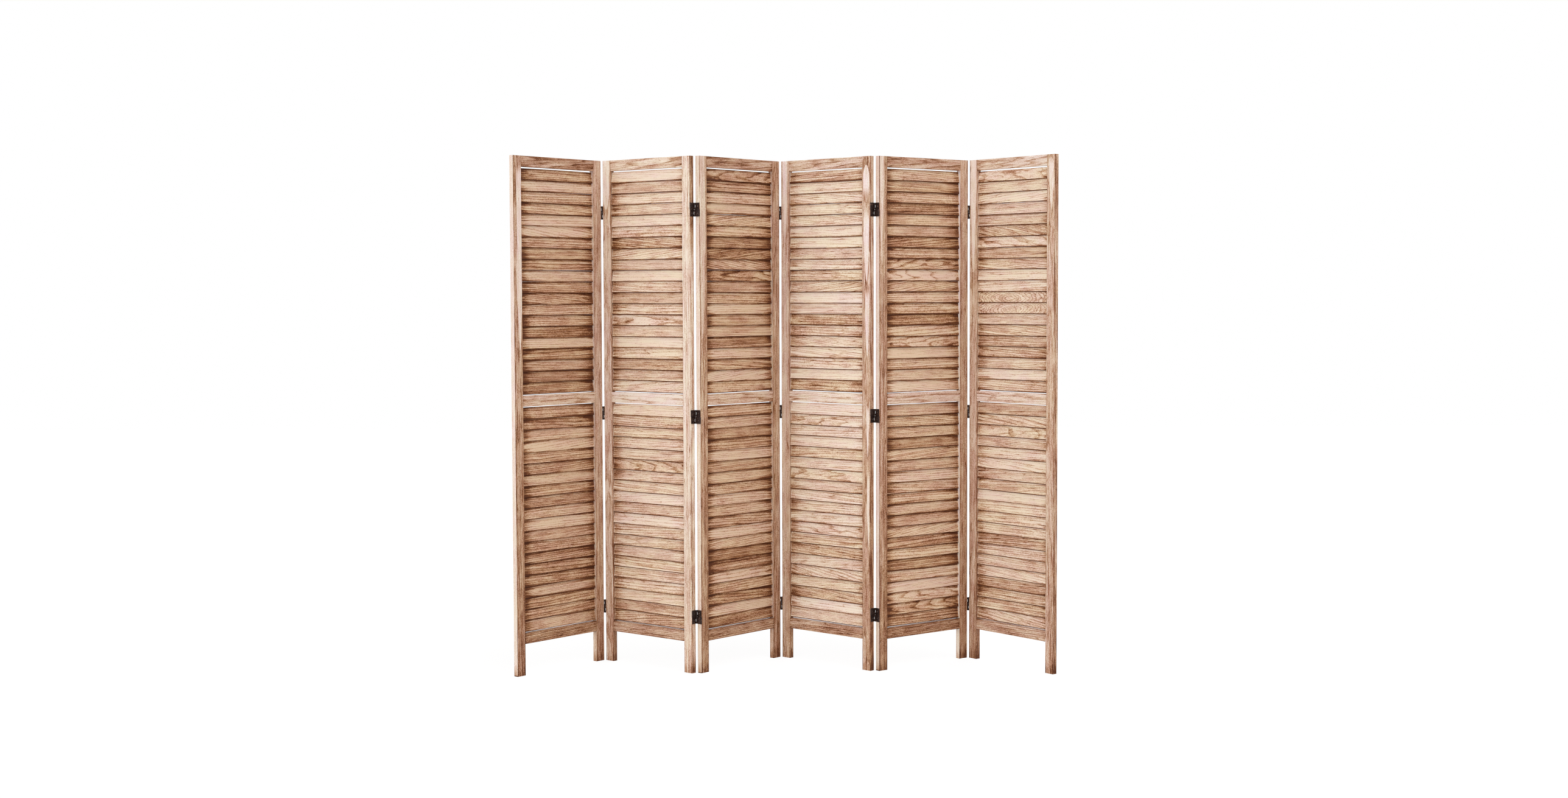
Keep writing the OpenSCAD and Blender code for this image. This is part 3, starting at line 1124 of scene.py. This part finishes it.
@dataclass
class SlatMill:
    """Saws the slats: gives each slat of the divider its own cut, tone and curl.

    A slat's name is its panel, its bay and its number in the bay.

    Attributes:
        sizes: Sizes of the panels.
        seed: Seed of all random numbers.
        apart: Distances in the log of two slats, of two bays and of two panels.
        tone_spread, tone_limit: Usual and greatest shift of a slat's colour.
        dark_tone, pale_tone: Tones of the slats that stand out.
        curls: How strongly the grain is curled, by figure.
        straight_share, sloped_share: Share of the slats that are straight, and share that
            are straight or sloped.
        corner_flame_and_shade, outer_flame: Least and most scorch at the end that stands
        farther back in the zigzag, with painted shade of that corner, and at the other end.
        lower_flame: Mean scorch at the lower edge, and its spread.
        laps, lowest_laps: How far the lower edges reach down, and that of the lowest slat.
        top_rise: How far the upper edge of the highest slat reaches up, by bay.
        curly, arched, sloped: The slats with curled grain, with a bold arched figure and
            with rings that run steeply across them.
        scorched, pale: The slats that are darker or paler than their neighbours, by bay
            and panel.
    """

    sizes: PanelSizes
    seed: int = 7
    apart: tuple[float, float, float] = (3.0, 70.0, 200.0)
    tone_spread: float = 0.30
    tone_limit: float = 0.8
    dark_tone: float = 0.85
    pale_tone: float = -0.9
    curls: dict[Figure, float] = field(default_factory=lambda: {
        Figure.CURLY: 0.2, Figure.ARCHED: 0.1,
    })
    straight_share: float = 0.70
    sloped_share: float = 0.96
    # More at the end in the zigzag's corner: part scorch, part painted shade of the corner.
    corner_flame_and_shade: tuple[float, float] = (0.25, 0.55)
    outer_flame: tuple[float, float] = (0.08, 0.36)
    lower_flame: tuple[float, float] = (0.1, 0.25)
    laps: tuple[float, float] = (0.0003, 0.0014)
    lowest_laps: tuple[float, float] = (0.0012, 0.0019)
    top_rise: dict[Bay, tuple[float, float]] = field(default_factory=lambda: {
        Bay.LOWER: (0.0012, 0.0018), Bay.UPPER: (0.0002, 0.0008),
    })
    curly: frozenset[SlatName] = frozenset({(6, Bay.UPPER, 8), (6, Bay.UPPER, 9)})
    arched: frozenset[SlatName] = frozenset({
        (2, Bay.LOWER, 15), (4, Bay.LOWER, 9), (5, Bay.LOWER, 3), (5, Bay.UPPER, 11),
        (5, Bay.UPPER, 12), (6, Bay.LOWER, 18), (6, Bay.UPPER, 14), (6, Bay.UPPER, 20),
    })
    sloped: frozenset[SlatName] = frozenset({
        (1, Bay.UPPER, 15), (4, Bay.UPPER, 5), (6, Bay.LOWER, 19), (6, Bay.UPPER, 15),
    })
    scorched: NumbersByBay = field(default_factory=lambda: {
        Bay.LOWER: ((5, 6, 19), (1, 2), (1, 3, 6, 7), (3, 7), (1, 6, 8, 17), (4, 8, 20)),
        Bay.UPPER: ((1, 2, 6), (3, 14), (5, 13, 14), (1, 7, 20), (7, 17), (5,)),
    })
    pale: NumbersByBay = field(default_factory=lambda: {
        Bay.LOWER: ((10, 17), (10, 12, 20), (9, 16), (2, 17, 20), (4, 14), (12, 15)),
        Bay.UPPER: (
            (5, 15, 16, 19), (5, 11, 16, 20), (2, 4, 8, 17), (2, 9, 14), (1, 4, 11), (2, 11, 18),
        ),
    })

    def slat(self, panel: int, bay: Bay, number: int) -> Slat:
        """Saw one slat.

        Args:
            panel: The panel's number.
            bay: The slat's bay.
            number: The slat's number in the bay.

        Returns:
            The slat.
        """
        name = (panel, bay, number)
        dice = random.Random(self.seed + 1000 * panel + 100 * bay.value + number)
        figure = self._figure(dice, name)
        cut = self._cut(dice, name, figure)
        tone = max(-self.tone_limit, min(self.tone_limit, dice.gauss(0.0, self.tone_spread)))
        if number in self.scorched[bay][panel - 1]:
            tone = self.dark_tone
        elif number in self.pale[bay][panel - 1]:
            tone = self.pale_tone
        # The end that stands in the zigzag's corner gets more, which paints that corner's shade
        # into the scorch.
        inner, outer = dice.uniform(*self.corner_flame_and_shade), dice.uniform(*self.outer_flame)
        ends = (outer, inner) if panel % 2 else (inner, outer)
        turning = self.sizes.turning_slat
        free = number not in (1, turning, turning + 1)
        lap = dice.uniform(*self.laps) if free else 0.0
        torch = (*ends, max(0.0, dice.gauss(*self.lower_flame)))
        if number == 1:
            lap = dice.uniform(*self.lowest_laps)
        highest = number == self.sizes.slats_per_bay
        rise = dice.uniform(*self.top_rise[bay]) if highest else 0.0
        return Slat(dice, cut, tone, self.curls.get(figure, 0.0), torch, lap, rise)

    def _figure(self, dice: random.Random, name: SlatName) -> Figure:
        """Choose a slat's figure.

        Args:
            dice: The slat's own random numbers.
            name: The slat's name.

        Returns:
            The figure.
        """
        chance = dice.random()
        if name in self.curly:
            return Figure.CURLY
        if name in self.arched:
            return Figure.ARCHED
        if name in self.sloped:
            return Figure.SLOPED
        if chance < self.straight_share:
            return Figure.STRAIGHT
        return Figure.SLOPED if chance < self.sloped_share else Figure.ARCHED

    def _cut(self, dice: random.Random, name: SlatName, figure: Figure) -> Cut:
        """Choose how a slat is sawn.

        Args:
            dice: The slat's own random numbers, which the cut draws in a fixed order.
            name: The slat's name.
            figure: The figure that its face gets.

        Returns:
            The cut.
        """
        panel, bay, number = name
        by_slat, by_bay, by_panel = self.apart
        start = 0.5 * dice.random() + by_slat * number + by_bay * bay.value + by_panel * panel
        sign = dice.choice((-1, 1))
        if figure is Figure.STRAIGHT:
            return Cut(
                pith_distance=dice.uniform(0.03, 0.12), pith_angle=sign * dice.uniform(45, 100),
                climb=dice.uniform(-1, 1), slope=dice.gauss(0, 1.0), start=start,
                coarseness=dice.uniform(0.7, 1.7),
            )
        if figure is Figure.SLOPED:
            steepness = 2 if name in self.sloped else 1
            return Cut(
                pith_distance=dice.uniform(0.05, 0.12), pith_angle=sign * dice.uniform(45, 80),
                climb=dice.uniform(-3, 3),
                slope=dice.choice((-1, 1)) * dice.uniform(2.5, 6) * steepness, start=start,
                coarseness=dice.uniform(0.9, 1.5),
            )
        if figure is Figure.CURLY:
            return Cut(
                pith_distance=dice.uniform(0.004, 0.012), pith_angle=sign * dice.uniform(0, 60),
                climb=sign * dice.uniform(13, 18), slope=dice.uniform(-3, 3), start=start,
                coarseness=dice.uniform(0.75, 0.9),
            )
        return Cut(
            pith_distance=dice.uniform(0.03, 0.07), pith_angle=sign * dice.uniform(0, 22),
            climb=dice.choice((-1, 1)) * dice.uniform(2.5, 5), slope=dice.uniform(-2, 2),
            start=start, coarseness=dice.uniform(1.2, 2.0),
        )


@dataclass(frozen=True)
class Stile:
    """The wood of one stile.

    Attributes:
        tone: Shift of its colour.
        burn: How strongly it was torched.
        pith_angle: Direction of the log's pith, 0 behind the face and 90 beside it.
        climb: Slope of the grain out of the face.
        curl: How strongly its grain is curled.
        streaks: Pale and burnt streaks on it.
    """

    tone: float
    burn: float
    pith_angle: float
    climb: float
    curl: float
    streaks: tuple[Streak, ...] = ()

    def cut(self, panel: int, side: Side) -> Cut:
        """Saw the stile from its own stretch of the log.

        Args:
            panel: The panel's number.
            side: The side that the stile is on.

        Returns:
            The cut.
        """
        return Cut(
            pith_distance=0.07, pith_angle=self.pith_angle, climb=self.climb, slope=0.3,
            start=11.0 * panel + 5.0 * side.value,
        )


@dataclass(frozen=True)
class PanelWood:
    """The wood of one panel.

    Attributes:
        burn: How strongly its slats were torched.
        rail_tones: Tones of the lowest, the middle and the highest rail.
        wall_painted_shade: Painted shade on the stiles' inner sides, as a darker tone.
        wall_sapwood: How much sapwood shows there.
        left, right: Its stiles.
    """

    burn: float
    rail_tones: tuple[float, float, float]
    wall_painted_shade: float
    wall_sapwood: float
    left: Stile
    right: Stile

    def stile(self, side: Side) -> Stile:
        """Return the stile on a side."""
        return self.left if side is Side.LEFT else self.right


# From the panel on the left to the one on the right.
PANEL_WOODS = (
    PanelWood(
        burn=0.82, rail_tones=(1.5, 0.1, 0.9), wall_painted_shade=0.0, wall_sapwood=0.4,
        left=Stile(1.0, 0.35, 35, 0.8, 0.08, (
            Streak(1.066, 1.655, 0.007, 0.0110, 0.20, strength=0.85),
            Streak.along_edge(Side.LEFT, strength=0.85),
        )),
        right=Stile(0.4, 0.55, 65, 0.5, 0.14),
    ),
    PanelWood(
        burn=0.22, rail_tones=(1.5, -0.5, 0.5), wall_painted_shade=1.2, wall_sapwood=0.0,
        left=Stile(0.05, 0.35, 12, 1.1, 0.16, (Streak(1.535, 1.72, -0.003, 0.0150, 0.05, 0.0022),)),
        right=Stile(-0.1, 0.0, 40, 0.5, 0.06, (
            Streak(1.38, 1.72, 0.0174, 0.0014, 0.2, 0.0015, True, 0.6),
            Streak.along_edge(Side.RIGHT, True, 0.35),
        )),
    ),
    PanelWood(
        burn=0.85, rail_tones=(1.2, 0.1, 1.0), wall_painted_shade=0.0, wall_sapwood=0.4,
        left=Stile(1.05, 0.35, 50, 0.4, 0.14, (
            Streak(1.10, 1.72, -0.004, 0.016, 0.35, 0.010, strength=0.6),
            Streak.along_edge(Side.LEFT, strength=0.8),
        )),
        right=Stile(0.75, 0.6, 25, -0.7, 0.14),
    ),
    PanelWood(
        burn=0.06, rail_tones=(1.7, -0.2, 0.8), wall_painted_shade=0.5, wall_sapwood=0.0,
        left=Stile(0.05, 0.45, 70, 0.3, 0.04, (Streak(1.42, 1.72, 0.0, 0.012, 0.25, 0.012),)),
        right=Stile(0.45, 0.45, 6, 1.3, 0.10, (
            Streak.along_edge(Side.RIGHT, True, 0.4),
            Streak(1.672, 1.585, 0.0, 0.0135, 0.03),
            Streak(1.29, 1.510, 0.001, 0.0120, 0.14),
            Streak(1.04, 1.250, 0.004, 0.0090, 0.14),
            Streak(0.71, 0.87, 0.006, 0.0070, 0.12),
            Streak(0.41, 0.65, 0.008, 0.0060, 0.14),
        )),
    ),
    PanelWood(
        burn=0.72, rail_tones=(1.8, 0.2, 0.8), wall_painted_shade=0.0, wall_sapwood=1.0,
        left=Stile(1.3, 0.35, 45, 0.5, 0.10, (
            Streak(1.35, 1.72, -0.006, 0.011, 0.3, 0.010, strength=0.8),
            Streak.along_edge(Side.LEFT, strength=0.8),
        )),
        right=Stile(0.7, 0.55, 60, 0.4, 0.12),
    ),
    PanelWood(
        burn=0.17, rail_tones=(1.2, 0.2, 0.3), wall_painted_shade=0.4, wall_sapwood=0.0,
        left=Stile(0.65, 0.35, 30, -0.5, 0.18, (Streak(1.32, 1.72, 0.0, 0.016, 0.25, 0.012),)),
        right=Stile(0.4, 0.3, 14, 1.0, 0.12, (
            Streak(1.52, 1.68, 0.003, 0.012, 0.12, 0.008),
            Streak.along_edge(Side.RIGHT, True, 0.45),
        )),
    ),
)


@dataclass(frozen=True)
class Materials:
    """What all panels share: the wood with its group, and three finished materials."""

    wood: TorchedWood
    grain: bpy.types.NodeTree
    slats: bpy.types.Material
    hinges: bpy.types.Material
    pins: bpy.types.Material


@dataclass
class Panel:
    """One panel: two stiles, three rails, forty slats and its share of the hinges.

    Attributes:
        place: Where it stands.
        sizes: Sizes of its parts.
        mill: What its slats are sawn by.
        materials: The shared materials.
        own: The panel's own wood.
        finish: How the flame marked its stiles and rails.
        wander_deg: Greatest turn of a slat past its rest tilt.
        slat_play: Play between two slats that lap.
    """

    place: PanelPlace
    sizes: PanelSizes
    mill: SlatMill
    materials: Materials
    own: PanelWood
    finish: FrameFinish = FrameFinish()
    wander_deg: float = 1.4
    slat_play: float = 0.0008

    def build(self, nodes: dict[str, bpy.types.Object]) -> None:
        """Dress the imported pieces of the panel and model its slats.

        Args:
            nodes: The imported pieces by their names.
        """
        name = f"panel_{self.place.number}"
        for side in Side:
            part = f"{name}_{side.name.lower()}_stile"
            dress(nodes[part], self._stile_material(side, f"{part}_wood"))
        dress(nodes[f"{name}_rails"], self._rail_material(f"{name}_rails_wood"))
        for part in ("hinge_leaves", "hinge_links"):
            dress(nodes[f"{name}_{part}"], self.materials.hinges)
        for part in ("hinge_pins", "hinge_screws"):
            dress(nodes[f"{name}_{part}"], self.materials.pins)
        turning = self.sizes.turning_slat
        fixed = [number for number in range(1, self.sizes.slats_per_bay + 1) if number != turning]
        for bay in Bay:
            piece = self._slats(bay, fixed, f"{name}_{bay.name.lower()}_fixed_slats_wood")
            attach(piece, name)
            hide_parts(f"{name}_fixed_slats")
        for bay in Bay:
            word = bay.name.lower()
            piece = self._slats(bay, [turning], f"{name}_{word}_turning_slat_wood")
            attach(piece, f"{name}_{word}_slat")
            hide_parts(f"{name}_{word}_turning_slat")

    def _add_slat(self, mesh: bmesh.types.BMesh, bay: Bay, number: int) -> None:
        """Saw a slat and add it to a mesh, at its place in the divider.

        Args:
            mesh: The mesh that takes the slat.
            bay: The slat's bay.
            number: The slat's number in the bay.
        """
        slat = self.mill.slat(self.place.number, bay, number)
        tilt = math.asin((slat.thickness + self.slat_play) / self.sizes.slat_pitch)
        angle = math.radians(57 * number + 131 * self.place.number + 89 * bay.value)
        tilt += math.radians(self.wander_deg) * math.sin(angle) ** 2
        lift = Matrix.Translation((0.0, 0.0, self.sizes.slat_height(bay, number)))
        place = self.place.matrix() @ lift @ Matrix.Rotation(-tilt, 4, "X")
        stiff = abs(number - self.sizes.turning_slat) <= 1
        slat.add_to(mesh, place, self.own.burn, stiff)

    def _slats(self, bay: Bay, numbers: list[int], name: str) -> bpy.types.Object:
        """Model some slats of a bay as one dressed piece.

        Args:
            bay: The bay.
            numbers: Their numbers.
            name: The piece's name.

        Returns:
            The piece.
        """
        mesh = bmesh.new()
        for number in numbers:
            self._add_slat(mesh, bay, number)
        data = bpy.data.meshes.new(name)
        mesh.to_mesh(data)
        mesh.free()
        piece = bpy.data.objects.new(name, data)
        bpy.context.scene.collection.objects.link(piece)
        dress(piece, self.materials.slats)
        log.info("%s: %d faces", name, len(data.polygons))
        return piece

    def _log_place(self, graph: Graph, board: Socket, cut: Cut, upright: bool) -> Socket:
        """Draw the place in the log of a board of this panel.

        Args:
            graph: The material's graph.
            board: The place in the board, from its middle.
            cut: How the board was sawn.
            upright: Whether the board's length runs up, and not along the panel.

        Returns:
            The place in the log.
        """
        if upright:
            across, depth, along = graph.split(board)
            board = graph.joined(along, depth, across)
        return graph.node("Mapping", board, cut.offset(), cut.turn()).outputs[0]

    def _stile_material(self, side: Side, name: str) -> bpy.types.Material:
        """Draw the wood of a stile.

        Args:
            side: The side that the stile is on.
            name: The material's name.

        Returns:
            The material.
        """
        material, graph, shader = new_material(name)
        finish, stile, width = self.finish, self.own.stile(side), self.sizes.stile_width
        centre = side.value * (self.sizes.width - width) / 2
        board = graph.vector("SUBTRACT", self.place.coordinates(graph), (centre, 0.0, 0.0))
        across, _, height = graph.split(board)
        beside = graph.math("ABSOLUTE", across)
        edge, arris, on_face = (
            fade.draw(graph, beside, width)
            for fade in (finish.edge, finish.arris, finish.face_only)
        )
        edge = graph.math("ADD", edge, arris)
        scorch = graph.math("MULTIPLY_ADD", edge, on_face, finish.foot.draw(graph, height))
        sapwood: object = 0.0
        for streak in stile.streaks:
            inside = streak.mask(graph, across, height)
            if streak.burnt:
                scorch = graph.math("ADD", scorch, inside)
                continue
            sapwood = graph.math("MAXIMUM", sapwood, inside)
            rim = graph.math("SUBTRACT", streak.rim().mask(graph, across, height), inside)
            scorch = graph.weighted(scorch, (finish.rim_scorch, rim))
        inner = graph.math("MULTIPLY", across, -side.value)
        inner = finish.inner_side.draw(graph, inner, width)
        tone = graph.math("ADD", finish.low_tone.draw(graph, height), stile.tone)
        # Painted shade: a darker tone on the stiles' inner sides, for the shadow that they stand in
        # on some panels.
        tone = graph.weighted(tone, (self.own.wall_painted_shade, inner))
        wall = graph.math("MULTIPLY", inner, self.own.wall_sapwood)
        place = self._log_place(graph, board, stile.cut(self.place.number, side), True)
        self.materials.wood.apply(
            graph, shader, self.materials.grain, finish.tint, Log=place, Tone=tone,
            Burn=stile.burn, Rings=finish.stile_rings, Curl=stile.curl, Scorch=scorch,
            Sapwood=graph.math("MAXIMUM", sapwood, wall),
        )
        return material

    def _rail_material(self, name: str) -> bpy.types.Material:
        """Draw the wood of the three rails, each of which is a board of its own.

        Args:
            name: The material's name.

        Returns:
            The material.
        """
        material, graph, shader = new_material(name)
        finish, sizes = self.finish, self.sizes
        along, depth, height = graph.split(self.place.coordinates(graph))
        from_first = graph.math("SUBTRACT", height, sizes.leg_height + sizes.rail_height / 2)
        number = graph.math("ROUND", graph.math("DIVIDE", from_first, sizes.rail_pitch))
        above = graph.weighted(from_first, (-sizes.rail_pitch, number))
        apart_along, apart_across = finish.rails_apart
        board = graph.joined(
            graph.weighted(along, (apart_along, number)), depth,
            graph.weighted(above, (apart_across, number)),
        )
        cut = Cut(
            pith_distance=0.055, pith_angle=62.0, climb=1.2, slope=1.6,
            start=31.0 * self.place.number,
        )
        low, mid, high = self.own.rail_tones
        curve = (low - 2 * mid + high) / 2
        tone = graph.weighted(mid - low - curve, (curve, number))
        tone = graph.math("MULTIPLY_ADD", number, tone, low)
        edge = finish.rail_edge.draw(graph, graph.math("ABSOLUTE", above), sizes.rail_height)
        end = finish.rail_end.draw(graph, graph.math("ABSOLUTE", along), sizes.inner_width)
        self.materials.wood.apply(
            graph, shader, self.materials.grain, finish.tint,
            Log=self._log_place(graph, board, cut, False), Tone=tone,
            Burn=finish.rail_burn * self.own.burn, Rings=finish.rail_rings, Curl=0.0,
            Scorch=graph.math("ADD", end, edge), Sapwood=0.0,
        )
        return material


def dress(piece: bpy.types.Object, material: bpy.types.Material) -> None:
    """Give a piece one material, in all its slots.

    Args:
        piece: The piece.
        material: The material.
    """
    if not piece.material_slots:
        piece.data.materials.append(material)
    for slot in piece.material_slots:
        slot.material = material


@dataclass
class Divider:
    """The whole divider: six panels in a zigzag.

    Attributes:
        frame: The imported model's nodes and joints.
        sizes: Sizes of the panels.
        wood: The wood of all its boards.
        hinge_metal: Finish of the hinges' leaves and links.
        pin_metal: Finish of their pins and screws.
    """

    frame: dict
    sizes: PanelSizes = PanelSizes()
    wood: TorchedWood = TorchedWood()
    hinge_metal: BrownedSteel = BrownedSteel(
        "hinge_metal", from_screen(48, 32, 27), from_screen(104, 78, 66)
    )
    pin_metal: BrownedSteel = BrownedSteel(
        "pin_metal", from_screen(100, 80, 72), from_screen(176, 152, 138), 0.36
    )

    def build(self) -> None:
        """Build and dress every panel."""
        grain = self.wood.group()
        materials = Materials(
            self.wood, grain, SlatFinish().material(self.wood, grain),
            self.hinge_metal.material(), self.pin_metal.material(),
        )
        mill = SlatMill(self.sizes)
        for place, own in zip(self._places(), PANEL_WOODS):
            Panel(place, self.sizes, mill, materials, own).build(self.frame["nodes"])
            turned = math.degrees(place.heading)
            log.info("panel %d: at %s, turned %.1f deg", place.number, place.middle, turned)

    def _places(self) -> Iterator[PanelPlace]:
        """Find where the panels stand, from left to right.

        Yields:
            Each panel's place.
        """
        joints = {joint["name"]: joint for joint in self.frame["joints"]}
        for number in range(1, len(PANEL_WOODS) + 1):
            yield PanelPlace.from_joint(number, joints[f"turn_upper_slat_{number}"])


# ---- The studio ----


@dataclass(frozen=True)
class SoftLight:
    """A broad lamp far away.

    Attributes:
        name: The lamp's name.
        strength: Its strength.
        comes_from: Direction that its light comes from.
        width: Its width as the divider sees it.
    """

    name: str
    strength: float
    comes_from: tuple[float, float, float]
    width: float

    def hang(self, scene: bpy.types.Scene) -> None:
        """Hang the lamp in a scene.

        Args:
            scene: The scene.
        """
        light = bpy.data.lights.new(self.name, "SUN")
        light.energy = self.strength
        light.angle = math.radians(self.width)
        lamp = bpy.data.objects.new(self.name, light)
        lamp.rotation_euler = Vector(self.comes_from).to_track_quat("Z", "Y").to_euler()
        scene.collection.objects.link(lamp)


@dataclass(frozen=True)
class Studio:
    """A pale floor, soft light and the camera.

    Attributes:
        sky_light: Strength of the light from all round.
        lamps: The lamps.
        floor_half: Half the floor's side.
        floor_colour: Colour of the floor in the lamps' light.
        floor_roughness: Roughness of the floor.
        floor_glow: How much of the floor's colour in the picture is plain white.
        glow_strength: Strength of that white.
        camera_place: Where the camera is.
        camera_turn: Its turn about the x, y and z axes.
        focal_share: Its focal length by the width of its picture.
    """

    sky_light: float = 0.55
    lamps: tuple[SoftLight, ...] = (
        SoftLight("key_light", 1.35, (-0.75, -1.0, 0.35), 60.0),
        SoftLight("fill_light", 1.15, (0.6, -0.6, 1.1), 50.0),
        SoftLight("back_light", 1.00, (0.5, 1.0, 0.5), 60.0),
    )
    floor_half: float = 12.0
    floor_colour: Colour = (0.86, 0.86, 0.86)
    floor_roughness: float = 0.9
    floor_glow: float = 0.86
    glow_strength: float = 1.05
    camera_place: tuple[float, float, float] = (-0.0108, -6.628, 1.2436)
    camera_turn: tuple[float, float, float] = (87.022, 0.165, -0.076)
    sensor_width: float = 36.0
    focal_share: float = 3262.0 / 2576.0

    def build(self) -> None:
        """Set up the world, the lamps, the floor and the camera."""
        scene = bpy.context.scene
        scene.view_settings.view_transform = "Standard"
        self._world(scene)
        for lamp in self.lamps:
            lamp.hang(scene)
        self._floor(scene)
        self._camera(scene)

    @staticmethod
    def _seen(graph: Graph) -> Socket:
        """Draw 1 for what the camera, a gloss or a glass sees, and 0 for other light.

        Args:
            graph: The graph of a material or of the world.

        Returns:
            The number's output.
        """
        path = graph.node("LightPath").outputs
        seen = graph.math("MAXIMUM", path["Is Camera Ray"], path["Is Glossy Ray"])
        return graph.math("MAXIMUM", seen, path["Is Transmission Ray"])

    def _world(self, scene: bpy.types.Scene) -> None:
        """Light the scene evenly from all round, before a white background.

        Args:
            scene: The scene.
        """
        world = bpy.data.worlds.new("studio")
        world.use_nodes = True
        graph = Graph(world.node_tree)
        background = world.node_tree.nodes["Background"]
        background.inputs["Color"].default_value = (*NO_TINT, 1.0)
        strength = graph.node("MapRange", self._seen(graph), 0.0, 1.0, self.sky_light, 1.0)
        graph.feed(background.inputs["Strength"], strength.outputs[0])
        scene.world = world

    def _floor(self, scene: bpy.types.Scene) -> None:
        """Lay the floor, which looks white but for the divider's own soft shadow.

        Args:
            scene: The scene.
        """
        mesh = bmesh.new()
        bmesh.ops.create_grid(mesh, x_segments=1, y_segments=1, size=self.floor_half)
        data = bpy.data.meshes.new("floor")
        mesh.to_mesh(data)
        mesh.free()
        floor = bpy.data.objects.new("floor", data)
        scene.collection.objects.link(floor)
        material, graph, shader = new_material("pale_floor")
        shader.inputs["Base Color"].default_value = (*self.floor_colour, 1.0)
        shader.inputs["Roughness"].default_value = self.floor_roughness
        shader.inputs["Specular IOR Level"].default_value = 0.0
        glow = graph.node("Emission")
        glow.inputs["Strength"].default_value = self.glow_strength
        share = graph.math("MULTIPLY", self._seen(graph), self.floor_glow)
        mixed = graph.node("MixShader", share, shader.outputs[0], glow.outputs[0])
        output = material.node_tree.nodes["Material Output"]
        graph.feed(output.inputs["Surface"], mixed.outputs[0])
        dress(floor, material)

    def _camera(self, scene: bpy.types.Scene) -> None:
        """Set the camera where the photograph was taken from.

        Args:
            scene: The scene.
        """
        data = bpy.data.cameras.new("camera")
        data.sensor_fit = "HORIZONTAL"
        data.sensor_width = self.sensor_width
        data.lens = self.sensor_width * self.focal_share
        data.clip_end = 100.0
        camera = bpy.data.objects.new("camera", data)
        camera.location = self.camera_place
        camera.rotation_euler = [math.radians(angle) for angle in self.camera_turn]
        scene.collection.objects.link(camera)
        scene.camera = camera


def main() -> None:
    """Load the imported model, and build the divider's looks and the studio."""
    logging.basicConfig(level=logging.INFO, format="%(message)s")
    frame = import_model()
    Studio().build()
    Divider(frame).build()


if __name__ == "__main__":
    main()
